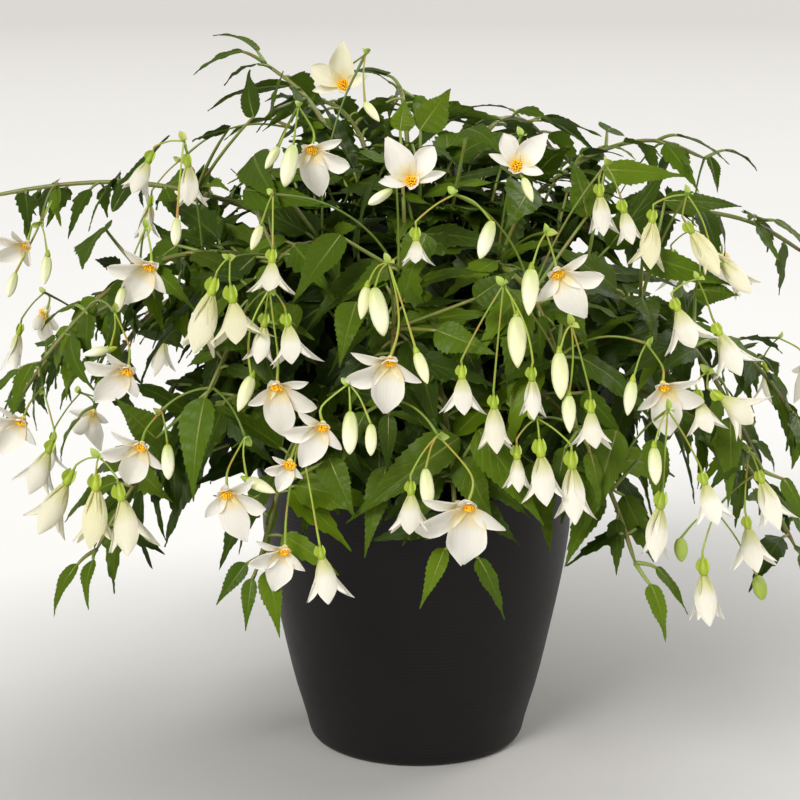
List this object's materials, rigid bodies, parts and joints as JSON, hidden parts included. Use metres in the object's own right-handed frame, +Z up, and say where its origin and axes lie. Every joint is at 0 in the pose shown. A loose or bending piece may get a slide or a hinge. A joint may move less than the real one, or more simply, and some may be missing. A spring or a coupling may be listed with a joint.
{
  "type": "potted bolivian begonia",
  "caption": "Trailing begonia with hanging white bell flowers and toothed green leaves, spilling over a dark tapered pot.",
  "frame": {"origin": "centre of the pot's base, on the surface it stands on", "axes": "+Z up the pot's axis, -Y towards the viewer of the picture, +X to the viewer's right"},
  "size_m": [0.7647, 0.593, 0.5747],
  "materials": {
    "pot": "matte charcoal moulded plastic with fine turned rings",
    "soil": "dark crumbly potting soil",
    "foliage": "mid to dark green, soft sheen",
    "flowers": "warm white, soft and slightly translucent"
  },
  "bodies": {
    "root": {"pot": "pot", "soil": "soil", "leafy_stems_00": "foliage", "leafy_stems_01": "foliage", "leafy_stems_02": "foliage", "leafy_stems_03": "foliage", "leafy_stems_04": "foliage", "leafy_stems_05": "foliage", "leafy_stems_06": "foliage", "leafy_stems_07": "foliage", "leafy_stems_08": "foliage", "leafy_stems_09": "foliage", "leafy_stems_10": "foliage", "leafy_stems_11": "foliage", "flower_spray_00": "flowers", "flower_spray_01": "flowers", "flower_spray_02": "flowers", "flower_spray_03": "flowers", "flower_spray_04": "flowers", "flower_spray_05": "flowers", "flower_spray_06": "flowers", "flower_spray_07": "flowers", "flower_spray_08": "flowers", "flower_spray_09": "flowers", "flower_spray_10": "flowers", "flower_spray_11": "flowers", "flower_spray_12": "flowers", "flower_spray_13": "flowers", "flower_spray_14": "flowers", "flower_spray_15": "flowers", "flower_spray_16": "flowers", "flower_spray_17": "flowers", "flower_spray_18": "flowers", "flower_spray_19": "flowers", "flower_spray_20": "flowers", "flower_spray_21": "flowers", "flower_spray_22": "flowers", "flower_spray_23": "flowers", "flower_spray_24": "flowers", "flower_spray_25": "flowers", "flower_spray_26": "flowers", "flower_spray_27": "flowers", "flower_spray_28": "flowers", "flower_spray_29": "flowers", "flower_spray_30": "flowers", "flower_spray_31": "flowers", "flower_spray_32": "flowers", "flower_spray_33": "flowers", "flower_spray_34": "flowers", "flower_spray_35": "flowers", "flower_spray_36": "flowers", "flower_spray_37": "flowers", "flower_spray_38": "flowers", "flower_spray_39": "flowers", "flower_spray_40": "flowers", "flower_spray_41": "flowers", "flower_spray_42": "flowers"}
  },
  "joints": []
}
